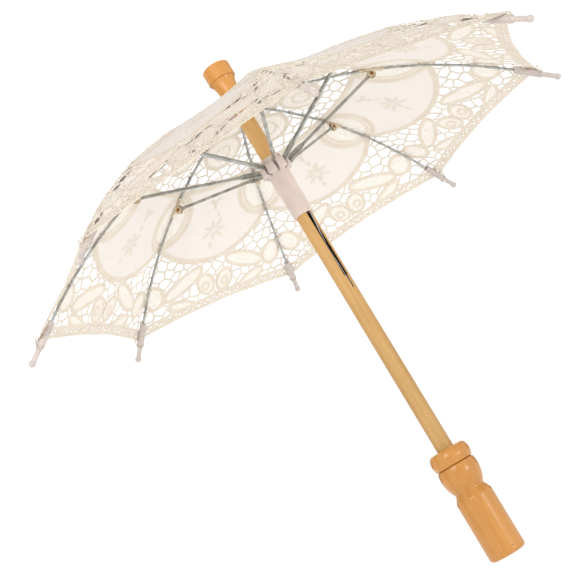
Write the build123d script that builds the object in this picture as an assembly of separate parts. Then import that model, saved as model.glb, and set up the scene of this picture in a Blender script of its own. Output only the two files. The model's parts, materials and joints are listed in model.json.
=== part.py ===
"""Lace parasol: turned wooden handle and finial, eight wire ribs, folding runner frame.

Units are millimetres.  +Z runs up the shaft and the origin is the centre of the handle's
flat end.  Rib 1 points along +X and the others follow every 45 degrees towards +Y.
Each rib is drawn in its own vertical plane as (radius from the shaft, height) and is then
turned to its place.
"""

from build123d import *
import math
import os

# Overall
RIB_COUNT = 8
RIB_STEP = 360 / RIB_COUNT
HALF_PANEL = RIB_STEP / 2
TOTAL_HEIGHT = 400.0
GLUE_GAP = 0.02

# Shaft
SHAFT_R = 6.0
SHAFT_FOOT_Z = 38.0
SHAFT_HEAD_Z = 391.0
SHAFT_CHAMFER = 0.8

# Handle
BARREL_R = 13.25
BARREL_TOP_Z = 43.4
BARREL_FOOT_EDGE = 2.6
SHOULDER_EDGE = 1.0
NECK_R = 10.7
NECK_Z = 48.8
NECK_HALF = 0.45
BULGE_R = 14.0
BULGE_Z = 58.6
GROOVE_R = 13.5
GROOVE_Z = 67.7
GROOVE_DEPTH = 1.4
GROOVE_HALF = 0.55
RING_R = 14.5
RING_Z = 73.1
RING_SHOULDER_R = 13.1
RING_SHOULDER_Z = 78.4
RING_TOP_R = 11.6
HANDLE_TOP_Z = 79.4
MOUTH_CHAMFER = 0.5

# Finial
CAP_R = 10.5
CAP_Z = 387.0
CAP_EDGE = 1.1
CAP_DOME = 1.25
FINIAL_FOOT_Z = 367.7
FINIAL_FOOT_R = 8.6
FINIAL_NECK_R = 7.6
FINIAL_NECK_Z = 374.0

# Rib circle: pivot of each rib on the notch ring, and the arc that its wire follows
RIB_PIVOT_R = 9.0
RIB_PIVOT_Z = 363.0
RIB_ARC_R = 350.0
RIB_START_SLOPE = 6.0
RIB_ARC_LENGTH = 200.0
RIB_WIRE_R = 0.9
RIB_EYE_R = 1.7
RIB_TAIL = 9.0

# Rings of wire that the ribs and stretchers hang on
RING_WIRE_R = 0.6
EYE_HOLE_R = 0.7

# Top notch
NOTCH_R = 11.5
NOTCH_FOOT_Z = 358.4
NOTCH_HEAD_Z = 366.5
NOTCH_SLOT_WIDTH = 2.6
NOTCH_SLOT_R = 6.9
NOTCH_SLOT_ROOF_Z = 365.1
NAIL_R = 0.6
NAIL_HEAD_R = 1.1
NAIL_HEAD = 0.6
NAIL_DEPTH_R = 3.4
NAIL_Z = 360.6

# Runner
RUNNER_BORE_R = 6.1
RUNNER_TUBE_R = 8.0
RUNNER_FOOT_R = 7.45
RUNNER_FOOT_Z = 269.2
RUNNER_LIP_R = 7.65
RUNNER_LIP_HEIGHT = 1.2
CROWN_R = 11.5
CROWN_FOOT_Z = 305.7
CROWN_HEAD_Z = 313.6
COLLAR_R = 8.2
COLLAR_HEAD_Z = 318.0
CROWN_SLOT_WIDTH = 2.0
CROWN_SLOT_R = 7.35
CROWN_EDGE_R = 0.7

# Stretchers
STRETCHER_PIVOT_R = 9.8
STRETCHER_PIVOT_Z = 311.0
CHANNEL_WIDTH = 2.2
CHANNEL_DEPTH = 1.9
CHANNEL_WALL = 0.4
CHANNEL_START = 12.0
BLADE_START = 1.5
BLADE_LENGTH = 14.0
BLADE_HALF_HEIGHT = 2.0
BLADE_NOSE_R = 1.4
BLADE_THICKNESS = 1.2
BLADE_TAIL = 19.0
BLADE_HOLE_R = 0.75
TONGUE_LENGTH = 9.0
TONGUE_THICKNESS = 1.1
TONGUE_R = 1.55
TONGUE_TAIL = 0.85
CHANNEL_SETBACK = 4.6

# Rib brackets and rivets
BRACKET_ALONG = 92.0
BRACKET_DROP = 3.0
BRACKET_R = 3.3
LUG_INNER = 0.65
LUG_OUTER = 1.25
SLEEVE_R = 1.25
SLEEVE_HALF_LENGTH = 9.0
RIVET_R = 0.85
RIVET_CLEARANCE = 0.05
RIVET_HEAD_R = 1.3
RIVET_HEAD = 0.4
RIVET_HALF_GRIP = 1.3

# Rib tips, measured along the tip's own axis from the end of the rib's arc
TIP_MOUTH = -2.5
TIP_MOUTH_EDGE = 0.4
TIP_SOCKET_R = 2.6
TIP_SHOULDER = 15.5
TIP_NECK_R = 1.75
TIP_NECK = 19.5
TIP_BALL_R = 2.35
TIP_BALL = 29.6
TIP_THREAD_HOLE = 17.0
TIP_THREAD_HOLE_R = 0.55

# Catch spring and its slot in the shaft
CATCH_AZIMUTH = -62.0
CATCH_WIRE_R = 0.45
CATCH_SLOT_WIDTH = 3.0
CATCH_SLOT_FOOT_Z = 216.0
CATCH_SLOT_HEAD_Z = 280.0
CATCH_SLOT_FLOOR_R = 1.2
CATCH_HOLE_Z = 207.0
CATCH_HOLE_R = 0.7
CATCH_GROOVE_WIDTH = 1.3
CATCH_GROOVE_R = 3.6

# Canopy
CLOTH = 0.8
CLOTH_START_R = 13.3
CLOTH_MIDDLE_R = 105.0
CLOTH_HEM_R = 205.0
CLOTH_START_GAP = 1.25
CLOTH_MIDDLE_GAP = 1.5
CLOTH_HEM_GAP = 3.2
HEM_SCALLOP = 5.0
SEAM_GAP = 0.15
CROWN_CLOTH_R = 15.0
CROWN_CLOTH_Z = 366.7

ARC_CENTRE_R = RIB_PIVOT_R - RIB_ARC_R * math.sin(math.radians(RIB_START_SLOPE))
ARC_CENTRE_Z = RIB_PIVOT_Z - RIB_ARC_R * math.cos(math.radians(RIB_START_SLOPE))
RIB_END_SLOPE = RIB_START_SLOPE + math.degrees(RIB_ARC_LENGTH / RIB_ARC_R)


def rib_slope(along):
    """Downward slope of the rib's arc, in degrees, at a length along it from the pivot."""
    return RIB_START_SLOPE + math.degrees(along / RIB_ARC_R)


def rib_point(along, rise=0.0):
    """Radius and height of a point on the rib, or at a distance above its wire's axis."""
    slope = math.radians(rib_slope(along))
    reach = RIB_ARC_R + rise
    return ARC_CENTRE_R + reach * math.sin(slope), ARC_CENTRE_Z + reach * math.cos(slope)


def tip_point(along, rise=0.0):
    """Radius and height of a point on the straight tip, past the end of the rib's arc."""
    slope = math.radians(RIB_END_SLOPE)
    end_r, end_z = rib_point(RIB_ARC_LENGTH, rise)
    return end_r + along * math.cos(slope), end_z - along * math.sin(slope)


def rib_at_radius(radius, rise):
    """Point above the rib, or above its tip, at a given radius from the shaft."""
    if radius < rib_point(RIB_ARC_LENGTH, rise)[0]:
        reach = RIB_ARC_R + rise
        return radius, ARC_CENTRE_Z + math.sqrt(reach**2 - (radius - ARC_CENTRE_R) ** 2)
    end_r = tip_point(0, rise)[0]
    along = (radius - end_r) / math.cos(math.radians(RIB_END_SLOPE))
    return tip_point(along, rise)


def upright(point):
    """A point of the (radius, height) plane as a vector in space."""
    return Vector(point[0], 0, point[1])


def pin_across(point, radius, half_length):
    """A cylinder along Y through a point of the (radius, height) plane."""
    plane = Plane(origin=upright(point), x_dir=(1, 0, 0), z_dir=(0, 1, 0))
    return plane * Cylinder(radius, 2 * half_length)


def turned(sketch_edges):
    """The solid of revolution about Z of a closed outline in the (radius, height) plane."""
    return revolve(make_face(sketch_edges), Axis.Z)


def polyline(points):
    """Straight edges through points of the (radius, height) plane."""
    return Polyline(*[upright(p) for p in points])


def arc(start, middle, end):
    """A round edge through three points of the (radius, height) plane."""
    return ThreePointArc(upright(start), upright(middle), upright(end))


def corner_arc(before, corner, after, size):
    """A round edge that cuts a corner, touching both of its sides at a distance from it."""
    tip = Vector(*corner)
    sides = [(Vector(*point) - tip).normalized() for point in (before, after)]
    half = math.radians(sides[0].get_angle(sides[1])) / 2
    inwards = (sides[0] + sides[1]).normalized()
    reach = size / math.cos(half) - size * math.tan(half)
    points = (tip + sides[0] * size, tip + inwards * reach, tip + sides[1] * size)
    return arc(*[(point.X, point.Y) for point in points])


def ring(radius, height, wire_r):
    """A ring of round wire about the shaft."""
    return Pos(0, 0, height) * Torus(radius, wire_r)


def catch_plane():
    """Where the catch's own (radius, height) plane stands around the shaft."""
    return Rot(0, 0, CATCH_AZIMUTH)


def tube_between(inner, outer, low, high):
    """A plain tube about Z."""
    height = high - low
    wall = Cylinder(outer, height) - Cylinder(inner, height + 1)
    return Pos(0, 0, (low + high) / 2) * wall


def radial_slots(width, floor_r, outer_r, low, high):
    """Eight upright slots, one in each rib's plane, open on the outside."""
    depth = outer_r - floor_r
    slot = Pos(floor_r + depth / 2, 0, (low + high) / 2) * Box(depth, width, high - low)
    return [Rot(0, 0, i * RIB_STEP) * slot for i in range(RIB_COUNT)]


def make_shaft():
    """Round wooden shaft with the catch's slot, groove and anchor hole, and a nail hole."""
    length = SHAFT_HEAD_Z - SHAFT_FOOT_Z
    rod = Pos(0, 0, SHAFT_FOOT_Z + length / 2) * Cylinder(SHAFT_R, length)
    rod = chamfer(rod.edges().filter_by(GeomType.CIRCLE), SHAFT_CHAMFER)
    depth = SHAFT_R + 1 - CATCH_SLOT_FLOOR_R
    height = CATCH_SLOT_HEAD_Z - CATCH_SLOT_FOOT_Z
    slot = Box(depth, CATCH_SLOT_WIDTH, height)
    slot = Pos(CATCH_SLOT_FLOOR_R + depth / 2, 0, CATCH_SLOT_FOOT_Z + height / 2) * slot
    groove_depth = SHAFT_R + 1 - CATCH_GROOVE_R
    groove_height = CATCH_SLOT_FOOT_Z - CATCH_HOLE_Z + 1
    groove = Box(groove_depth, CATCH_GROOVE_WIDTH, groove_height)
    groove = Pos(CATCH_GROOVE_R + groove_depth / 2, 0, CATCH_HOLE_Z + groove_height / 2) * groove
    hole = Cylinder(CATCH_HOLE_R, depth)
    hole = Pos(CATCH_SLOT_FLOOR_R + depth / 2, 0, CATCH_HOLE_Z) * Rot(0, 90, 0) * hole
    rod -= catch_plane() * (slot + groove + hole)
    return rod - nail_shape(GLUE_GAP)


def nail_shape(extra=0.0):
    """The nail that pins the top notch, standing across the notch between two ribs."""
    length = NOTCH_R - NAIL_DEPTH_R
    shank = Pos(NAIL_DEPTH_R + length / 2, 0, NAIL_Z) * Rot(0, 90, 0)
    shank = shank * Cylinder(NAIL_R + extra, length)
    return Rot(0, 0, HALF_PANEL) * shank


def make_notch_nail():
    """Steel nail with a low head, driven through the notch into the shaft."""
    head = Pos(NOTCH_R + NAIL_HEAD / 2, 0, NAIL_Z) * Rot(0, 90, 0)
    head = head * Cylinder(NAIL_HEAD_R, NAIL_HEAD)
    return nail_shape() + Rot(0, 0, HALF_PANEL) * head


def make_handle():
    """Turned handle: barrel, sloping shoulder, neck, round bulge, groove and top ring."""
    bore_r = SHAFT_R + GLUE_GAP
    foot = (BARREL_R, 0)
    shoulder = (BARREL_R, BARREL_TOP_Z)
    neck_foot = (NECK_R, NECK_Z - NECK_HALF)
    neck_head = (NECK_R, NECK_Z + NECK_HALF)
    foot_arc = corner_arc((0, 0), foot, shoulder, BARREL_FOOT_EDGE)
    shoulder_arc = corner_arc(foot, shoulder, neck_foot, SHOULDER_EDGE)
    groove_foot = (GROOVE_R, GROOVE_Z - GROOVE_HALF)
    groove_head = (GROOVE_R, GROOVE_Z + GROOVE_HALF)
    ring_shoulder = (RING_SHOULDER_R, RING_SHOULDER_Z)
    outline = polyline([(0, SHAFT_FOOT_Z), (0, 0), (BARREL_R - BARREL_FOOT_EDGE, 0)])
    outline += foot_arc + shoulder_arc
    outline += Line(foot_arc @ 1, shoulder_arc @ 0)
    outline += Line(shoulder_arc @ 1, upright(neck_foot))
    outline += polyline([neck_foot, neck_head])
    outline += arc(neck_head, (BULGE_R, BULGE_Z), groove_foot)
    outline += polyline([groove_foot, (GROOVE_R - GROOVE_DEPTH, GROOVE_Z), groove_head])
    outline += arc(groove_head, (RING_R, RING_Z), ring_shoulder)
    outline += polyline(
        [
            ring_shoulder,
            (RING_TOP_R, HANDLE_TOP_Z),
            (bore_r + MOUTH_CHAMFER, HANDLE_TOP_Z),
            (bore_r, HANDLE_TOP_Z - MOUTH_CHAMFER),
            (bore_r, SHAFT_FOOT_Z),
            (0, SHAFT_FOOT_Z),
        ]
    )
    return turned(outline)


def make_finial():
    """Turned wooden cap on a waisted neck, bored from below for the shaft."""
    bore_r = SHAFT_R + GLUE_GAP
    rim_z = TOTAL_HEIGHT - CAP_DOME
    cap_foot = (CAP_R, CAP_Z)
    cap_rim = (CAP_R, rim_z)
    neck_end = (CAP_R - CAP_EDGE, CAP_Z)
    foot_arc = corner_arc(neck_end, cap_foot, cap_rim, CAP_EDGE)
    rim_arc = corner_arc(cap_foot, cap_rim, (0, rim_z), CAP_EDGE)
    dome_r = CAP_R - CAP_EDGE
    dome_arc_r = (dome_r**2 + CAP_DOME**2) / (2 * CAP_DOME)
    half_way_drop = dome_arc_r - math.sqrt(dome_arc_r**2 - (dome_r / 2) ** 2)
    outline = polyline([(bore_r, FINIAL_FOOT_Z), (FINIAL_FOOT_R, FINIAL_FOOT_Z)])
    outline += arc((FINIAL_FOOT_R, FINIAL_FOOT_Z), (FINIAL_NECK_R, FINIAL_NECK_Z), neck_end)
    outline += foot_arc + rim_arc
    outline += Line(foot_arc @ 1, rim_arc @ 0)
    outline += arc(
        (dome_r, rim_z),
        (dome_r / 2, TOTAL_HEIGHT - half_way_drop),
        (0, TOTAL_HEIGHT),
    )
    outline += polyline([(0, TOTAL_HEIGHT), (0, SHAFT_HEAD_Z), (bore_r, SHAFT_HEAD_Z)])
    outline += polyline([(bore_r, SHAFT_HEAD_Z), (bore_r, FINIAL_FOOT_Z)])
    return turned(outline)


def make_top_notch():
    """Moulded disc fixed under the finial, slotted from below for the eight rib eyes."""
    disc = tube_between(SHAFT_R + GLUE_GAP, NOTCH_R, NOTCH_FOOT_Z, NOTCH_HEAD_Z)
    disc -= radial_slots(
        NOTCH_SLOT_WIDTH, NOTCH_SLOT_R, NOTCH_R + 1, NOTCH_FOOT_Z - 1, NOTCH_SLOT_ROOF_Z
    )
    disc -= ring(RIB_PIVOT_R, RIB_PIVOT_Z, RING_WIRE_R + GLUE_GAP)
    return disc - nail_shape(GLUE_GAP)


def make_notch_wire():
    """Ring of wire through the notch that every rib eye turns on."""
    return ring(RIB_PIVOT_R, RIB_PIVOT_Z, RING_WIRE_R)


def make_runner():
    """Thin sliding tube with a slotted crown for the stretchers and a collar above it."""
    outline = polyline(
        [
            (RUNNER_BORE_R, RUNNER_FOOT_Z),
            (RUNNER_LIP_R, RUNNER_FOOT_Z),
            (RUNNER_LIP_R, RUNNER_FOOT_Z + RUNNER_LIP_HEIGHT),
            (RUNNER_FOOT_R, RUNNER_FOOT_Z + 2 * RUNNER_LIP_HEIGHT),
            (RUNNER_TUBE_R, CROWN_FOOT_Z - 1),
            (RUNNER_TUBE_R + 1, CROWN_FOOT_Z),
            (CROWN_R - CROWN_EDGE_R, CROWN_FOOT_Z),
            (CROWN_R, CROWN_FOOT_Z + CROWN_EDGE_R),
            (CROWN_R, CROWN_HEAD_Z - CROWN_EDGE_R),
            (CROWN_R - CROWN_EDGE_R, CROWN_HEAD_Z),
            (COLLAR_R, CROWN_HEAD_Z),
            (COLLAR_R, COLLAR_HEAD_Z - CROWN_EDGE_R),
            (COLLAR_R - CROWN_EDGE_R, COLLAR_HEAD_Z),
            (RUNNER_BORE_R, COLLAR_HEAD_Z),
            (RUNNER_BORE_R, RUNNER_FOOT_Z),
        ]
    )
    body = turned(outline)
    body -= radial_slots(
        CROWN_SLOT_WIDTH, CROWN_SLOT_R, CROWN_R + 1, CROWN_FOOT_Z - 1, COLLAR_HEAD_Z + 1
    )
    return body - ring(STRETCHER_PIVOT_R, STRETCHER_PIVOT_Z, RING_WIRE_R + GLUE_GAP)


def make_runner_wire():
    """The crown's ring of wire, parted at each slot, where the stretcher's eye sits."""
    wire = ring(STRETCHER_PIVOT_R, STRETCHER_PIVOT_Z, RING_WIRE_R)
    low = STRETCHER_PIVOT_Z - 2
    high = STRETCHER_PIVOT_Z + 2
    return wire - radial_slots(CROWN_SLOT_WIDTH, CROWN_SLOT_R, CROWN_R + 1, low, high)


def make_catch_spring():
    """Bent wire in the shaft's slot, standing proud under the runner when it is up."""
    route = [
        (2.6, CATCH_HOLE_Z),
        (5.3, CATCH_HOLE_Z),
        (5.2, CATCH_SLOT_FOOT_Z),
        (4.1, 240.0),
        (7.9, 266.6),
        (7.6, 268.0),
        (5.0, 267.8),
        (4.9, 275.5),
    ]
    bends = [0.9, 9.0, 20.0, 0.6, 0.6, 0.8]
    line = FilletPolyline(*[upright(p) for p in route], radius=bends)
    start = Plane(origin=line @ 0, z_dir=line % 0)
    wire = sweep(start * Circle(CATCH_WIRE_R), line, transition=Transition.ROUND)
    return catch_plane() * wire


def stretcher_pivot():
    """Radius and height of the rivet that joins a stretcher to its rib."""
    return rib_point(BRACKET_ALONG, -BRACKET_DROP)


def along_rib(along):
    """A place on the rib with local Z running outwards along its wire."""
    slope = math.radians(rib_slope(along))
    forward = (math.cos(slope), 0, -math.sin(slope))
    return Plane(origin=upright(rib_point(along)), x_dir=(0, 1, 0), z_dir=forward)


def rod_on_rib(radius, start, end):
    """A round rod that follows the rib's arc between two lengths along it."""
    line = arc(rib_point(start), rib_point((start + end) / 2), rib_point(end))
    return sweep(along_rib(start) * Circle(radius), line)


def make_rib():
    """Steel wire rib: flattened eye on the notch ring, then one long even curve."""
    pivot = (RIB_PIVOT_R, RIB_PIVOT_Z)
    wire = rod_on_rib(RIB_WIRE_R, RING_WIRE_R + GLUE_GAP + 0.4, RIB_ARC_LENGTH)
    tail = Pos(0, 0, RIB_TAIL / 2) * Cylinder(RIB_WIRE_R, RIB_TAIL)
    eye = pin_across(pivot, RIB_EYE_R, RIB_WIRE_R)
    rib = wire + along_rib(RIB_ARC_LENGTH) * tail + eye
    return rib - pin_across(pivot, EYE_HOLE_R, 3 * RIB_WIRE_R)


def make_bracket():
    """Two round lugs crimped on the rib's wire by one sleeve, bored for the rivet."""
    pivot = stretcher_pivot()
    start = BRACKET_ALONG - SLEEVE_HALF_LENGTH
    end = BRACKET_ALONG + SLEEVE_HALF_LENGTH
    sleeve = rod_on_rib(SLEEVE_R, start, end)
    lug = pin_across(pivot, BRACKET_R, (LUG_OUTER - LUG_INNER) / 2)
    lug = Pos(0, (LUG_OUTER + LUG_INNER) / 2, 0) * lug
    wire_hole = rod_on_rib(RIB_WIRE_R + GLUE_GAP, start - 1, end + 1)
    rivet_hole = pin_across(pivot, RIVET_R + GLUE_GAP, 2 * LUG_OUTER)
    return sleeve + lug + mirror(lug, Plane.XZ) - wire_hole - rivet_hole


def make_rivet():
    """Headed rivet through both of the bracket's lugs and the stretcher's tongue."""
    pivot = stretcher_pivot()
    rivet = pin_across(pivot, RIVET_R, RIVET_HALF_GRIP + RIVET_HEAD / 2)
    head = Pos(0, RIVET_HALF_GRIP + RIVET_HEAD / 2, 0) * pin_across(
        pivot, RIVET_HEAD_R, RIVET_HEAD / 2
    )
    return rivet + head + mirror(head, Plane.XZ)


def make_tip():
    """Moulded tip: socket over the rib's end, long taper, round ball and a thread hole."""
    outline = polyline(
        [
            (0, TIP_MOUTH),
            (TIP_SOCKET_R - TIP_MOUTH_EDGE, TIP_MOUTH),
            (TIP_SOCKET_R, TIP_MOUTH + TIP_MOUTH_EDGE),
            (TIP_SOCKET_R, TIP_SHOULDER),
            (TIP_NECK_R, TIP_NECK),
            (0, TIP_NECK),
            (0, TIP_MOUTH),
        ]
    )
    body = turned(outline)
    stem = Pos(0, 0, (TIP_NECK + TIP_BALL) / 2) * Cylinder(TIP_NECK_R, TIP_BALL - TIP_NECK)
    ball = Pos(0, 0, TIP_BALL) * Sphere(TIP_BALL_R)
    socket_depth = RIB_TAIL - TIP_MOUTH + 1
    socket = Cylinder(RIB_WIRE_R + GLUE_GAP, socket_depth)
    socket = Pos(0, 0, TIP_MOUTH + socket_depth / 2 - 0.5) * socket
    thread_hole = Pos(0, 0, TIP_THREAD_HOLE) * Rot(90, 0, 0)
    thread_hole = thread_hole * Cylinder(TIP_THREAD_HOLE_R, 4 * TIP_SOCKET_R)
    return along_rib(RIB_ARC_LENGTH) * (body + stem + ball - socket - thread_hole)


def channel_between(start, end):
    """Folded strip with a U section, open upwards, between two lengths from the eye."""
    length = end - start
    outer = Box(length, CHANNEL_WIDTH, CHANNEL_DEPTH)
    inner = Pos(0, 0, CHANNEL_WALL) * Box(
        length + 1, CHANNEL_WIDTH - 2 * CHANNEL_WALL, CHANNEL_DEPTH
    )
    return Pos((start + end) / 2, 0, 0) * (outer - inner)


def blade():
    """Flat inner end of a stretcher, upright in the crown's slot, with its eye."""
    half = BLADE_THICKNESS / 2
    low_edge = -CHANNEL_DEPTH / 2 + CHANNEL_WALL / 2
    outline = Polyline(
        (0, 0, -BLADE_NOSE_R),
        (BLADE_START, 0, -BLADE_HALF_HEIGHT),
        (BLADE_LENGTH, 0, -BLADE_HALF_HEIGHT),
        (BLADE_TAIL, 0, low_edge),
        (BLADE_TAIL, 0, -low_edge),
        (BLADE_LENGTH, 0, BLADE_HALF_HEIGHT),
        (BLADE_START, 0, BLADE_HALF_HEIGHT),
        (0, 0, BLADE_NOSE_R),
        (0, 0, -BLADE_NOSE_R),
    )
    plate = extrude(make_face(outline), half, both=True)
    nose = pin_across((0, 0), BLADE_NOSE_R, half)
    return plate + nose - pin_across((0, 0), BLADE_HOLE_R, BLADE_THICKNESS)


def tongue(length):
    """Flat outer end of a stretcher, between the bracket's lugs, bored for the rivet."""
    half = TONGUE_THICKNESS / 2
    outline = Polyline(
        (length - TONGUE_LENGTH, 0, -TONGUE_TAIL),
        (length, 0, -TONGUE_R),
        (length, 0, TONGUE_R),
        (length - TONGUE_LENGTH, 0, TONGUE_TAIL),
        (length - TONGUE_LENGTH, 0, -TONGUE_TAIL),
    )
    plate = extrude(make_face(outline), half, both=True)
    plate += pin_across((length, 0), TONGUE_R, half)
    return plate - pin_across((length, 0), RIVET_R + RIVET_CLEARANCE, TONGUE_THICKNESS)


def make_stretcher():
    """Steel stretcher: blade in the runner's crown, U channel, tongue in the bracket."""
    pivot = stretcher_pivot()
    reach_r = pivot[0] - STRETCHER_PIVOT_R
    reach_z = pivot[1] - STRETCHER_PIVOT_Z
    length = math.hypot(reach_r, reach_z)
    rise = math.degrees(math.atan2(reach_z, reach_r))
    channel = channel_between(CHANNEL_START, length - CHANNEL_SETBACK)
    body = channel + blade() + tongue(length)
    return Pos(STRETCHER_PIVOT_R, 0, STRETCHER_PIVOT_Z) * Rot(0, -rise, 0) * body


def panel_outline():
    """Half of one gore in plan: from the rib's plane to the seam, with a hollow hem."""
    half = math.radians(HALF_PANEL)
    across = Vector(-math.sin(half), math.cos(half))
    outwards = Vector(math.cos(half), math.sin(half))
    seam_shift = across * -SEAM_GAP
    corner = Vector(CLOTH_HEM_R, 0)
    far_corner = Vector(
        CLOTH_HEM_R * math.cos(2 * half), CLOTH_HEM_R * math.sin(2 * half)
    )
    hollow = outwards * ((CLOTH_HEM_R - HEM_SCALLOP) * math.cos(half))
    hem = ThreePointArc(corner, hollow, far_corner)
    seam = Line(seam_shift, seam_shift + outwards * (CLOTH_HEM_R * 1.2))
    meeting = hem.intersect(seam)
    hem_end = meeting if isinstance(meeting, Vector) else Vector(*meeting.vertices()[0])
    near_middle = hem.position_at(hem.param_at_point(hem_end) / 2)
    inner = seam_shift + outwards
    edges = Line((1, 0), corner) + ThreePointArc(corner, near_middle, hem_end)
    edges += Line(hem_end, inner) + Line(inner, (1, 0))
    return make_face(edges)


def make_gore():
    """One eighth of the lace cover, ridged over its rib, flat across to the seams."""
    half = math.radians(HALF_PANEL)
    places = [
        (CLOTH_START_R, CLOTH_START_GAP),
        (CLOTH_MIDDLE_R, CLOTH_MIDDLE_GAP),
        (CLOTH_HEM_R + 1, CLOTH_HEM_GAP),
    ]
    lower = [rib_at_radius(radius, gap) for radius, gap in places]
    upper = [rib_at_radius(radius, gap + CLOTH) for radius, gap in places]
    band = arc(*lower) + polyline([lower[2], upper[2]])
    band += arc(*reversed(upper)) + polyline([upper[0], lower[0]])
    across = (-math.sin(half), math.cos(half), 0)
    sheet = extrude(make_face(band), amount=CLOTH_HEM_R / 2, dir=across)
    low = lower[2][1] - 5
    prism = Pos(0, 0, low) * extrude(panel_outline(), amount=upper[0][1] + 5 - low)
    side = sheet & prism
    return side + mirror(side, Plane.XZ)


def make_canopy_crown():
    """Round of cloth over the notch, under the finial, that the gores gather into."""
    return tube_between(
        SHAFT_R + GLUE_GAP, CROWN_CLOTH_R, CROWN_CLOTH_Z, CROWN_CLOTH_Z + CLOTH
    )


def write(name, shape):
    """Write one named piece."""
    solids = shape.solids()
    piece = solids[0] if len(solids) == 1 else Compound(children=list(solids))
    piece.label = name
    export_step(piece, f"parts/{name}.step")


def main():
    """Write every piece: the fixed ones, the runner's, and eight of each rib's."""
    os.makedirs("parts", exist_ok=True)
    single_pieces = {
        "shaft": make_shaft,
        "handle": make_handle,
        "finial": make_finial,
        "top_notch": make_top_notch,
        "notch_wire": make_notch_wire,
        "notch_nail": make_notch_nail,
        "canopy_crown": make_canopy_crown,
        "runner": make_runner,
        "runner_wire": make_runner_wire,
        "catch_spring": make_catch_spring,
    }
    rib_pieces = {
        "rib": make_rib,
        "tip": make_tip,
        "bracket": make_bracket,
        "rivet": make_rivet,
        "stretcher": make_stretcher,
        "canopy_gore": make_gore,
    }
    for name, make in single_pieces.items():
        write(name, make())
    for name, make in rib_pieces.items():
        shape = make()
        for i in range(RIB_COUNT):
            write(f"{name}_{i + 1}", Rot(0, 0, i * RIB_STEP) * shape)


main()
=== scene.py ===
import json
import math

import bpy
import numpy as np
from mathutils import Matrix, Vector


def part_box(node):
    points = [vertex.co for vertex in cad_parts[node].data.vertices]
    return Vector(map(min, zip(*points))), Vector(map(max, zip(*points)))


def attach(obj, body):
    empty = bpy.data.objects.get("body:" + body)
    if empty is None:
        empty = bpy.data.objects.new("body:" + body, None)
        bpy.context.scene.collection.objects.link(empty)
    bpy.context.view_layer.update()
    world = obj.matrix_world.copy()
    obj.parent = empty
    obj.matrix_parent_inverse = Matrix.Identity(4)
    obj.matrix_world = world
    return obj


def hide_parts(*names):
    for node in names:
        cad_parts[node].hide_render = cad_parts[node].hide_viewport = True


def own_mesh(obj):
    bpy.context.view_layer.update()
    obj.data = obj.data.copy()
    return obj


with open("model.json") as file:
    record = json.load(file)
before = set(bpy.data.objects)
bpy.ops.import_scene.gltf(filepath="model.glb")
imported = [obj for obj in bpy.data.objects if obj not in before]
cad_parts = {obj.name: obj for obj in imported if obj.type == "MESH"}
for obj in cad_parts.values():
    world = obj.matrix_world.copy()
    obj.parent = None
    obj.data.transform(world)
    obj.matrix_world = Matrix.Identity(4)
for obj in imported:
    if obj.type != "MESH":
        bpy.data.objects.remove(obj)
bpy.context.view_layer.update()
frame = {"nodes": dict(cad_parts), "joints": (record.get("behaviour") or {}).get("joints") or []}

MM = 0.001

# ---------------------------------------------------------------- driving dimensions, in mm
RIB_COUNT = 8
HALF_PANEL = math.radians(22.5)
RIB_STEP = 2 * HALF_PANEL
PIVOT = next(j["pos_m"] for j in frame["joints"] if j["name"] == "rib_fold_1")
PIVOT_R = PIVOT[0] / MM
PIVOT_Z = PIVOT[2] / MM
RIB_ARC_R = 350.0
RIB_START_SLOPE = math.radians(6.0)
RIB_ARC_LENGTH = 200.0
RIB_END_SLOPE = RIB_START_SLOPE + RIB_ARC_LENGTH / RIB_ARC_R
ARC_CENTRE_R = PIVOT_R - RIB_ARC_R * math.sin(RIB_START_SLOPE)
ARC_CENTRE_Z = PIVOT_Z - RIB_ARC_R * math.cos(RIB_START_SLOPE)
LACE_START_R = 13.3
LACE_HEM_R = 205.0
HEM_SCALLOP = 5.0
PICOT_PITCH = 3.3
PICOT_DEPTH = 0.85
THREAD_HALF = 0.64
GRID = 0.62

GROUND_PITCH = 9.6
GROUND_UNEVEN = 0.34  # of the pitch, the furthest that a cell's centre is off its place
GROUND_REACH = 16.0
POINTS_AT_ONCE = 20000
MEDALLION_R = 62.3
MEDALLION_V = 98.2
MEDALLION_TOP_V = 86.5
RIB_OVAL_V = 108.0
DISC_V = 53.0
SPRIG_V = 131.0

CLOTH_HALF = 0.14
OPEN_THREAD_HALF = 0.10
TAPE_RISE = 0.24
THREAD_RISE = 0.34
STITCH_RISE = 0.26
EDGE_WAVER = 0.24
RIM_HALF = 0.13

TIP_THREAD_R = 0.27
TIP_THREAD_TURNS = ((16.4, 2.70), (17.2, 2.53), (18.0, 2.36))  # along the tip, radius
TIE_THREAD_R = 0.22
TIE_PLACES = (46.0, 84.0, 128.0, 168.0)
TIE_HALF_WIDTH = 1.22
ROSETTE_INNER_R = 6.3
ROSETTE_OVERHANG = 1.2
ROSETTE_AROUND = 192
ROSETTE_RINGS = 22
ROSETTE_DROP = 2.0

# ---------------------------------------------------------------- camera, floor and light
CAMERA_PLACE = (-0.1440, -0.7893, 0.0639)
CAMERA_HEADING = math.radians(7.77)
CAMERA_TILT = math.radians(11.72)
CAMERA_ROLL = math.radians(-30.65)
CAMERA_LENS = 73.08
MIDDLE = (0, 0, 0.25)
HUB = (0, 0, 0.37)
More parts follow.
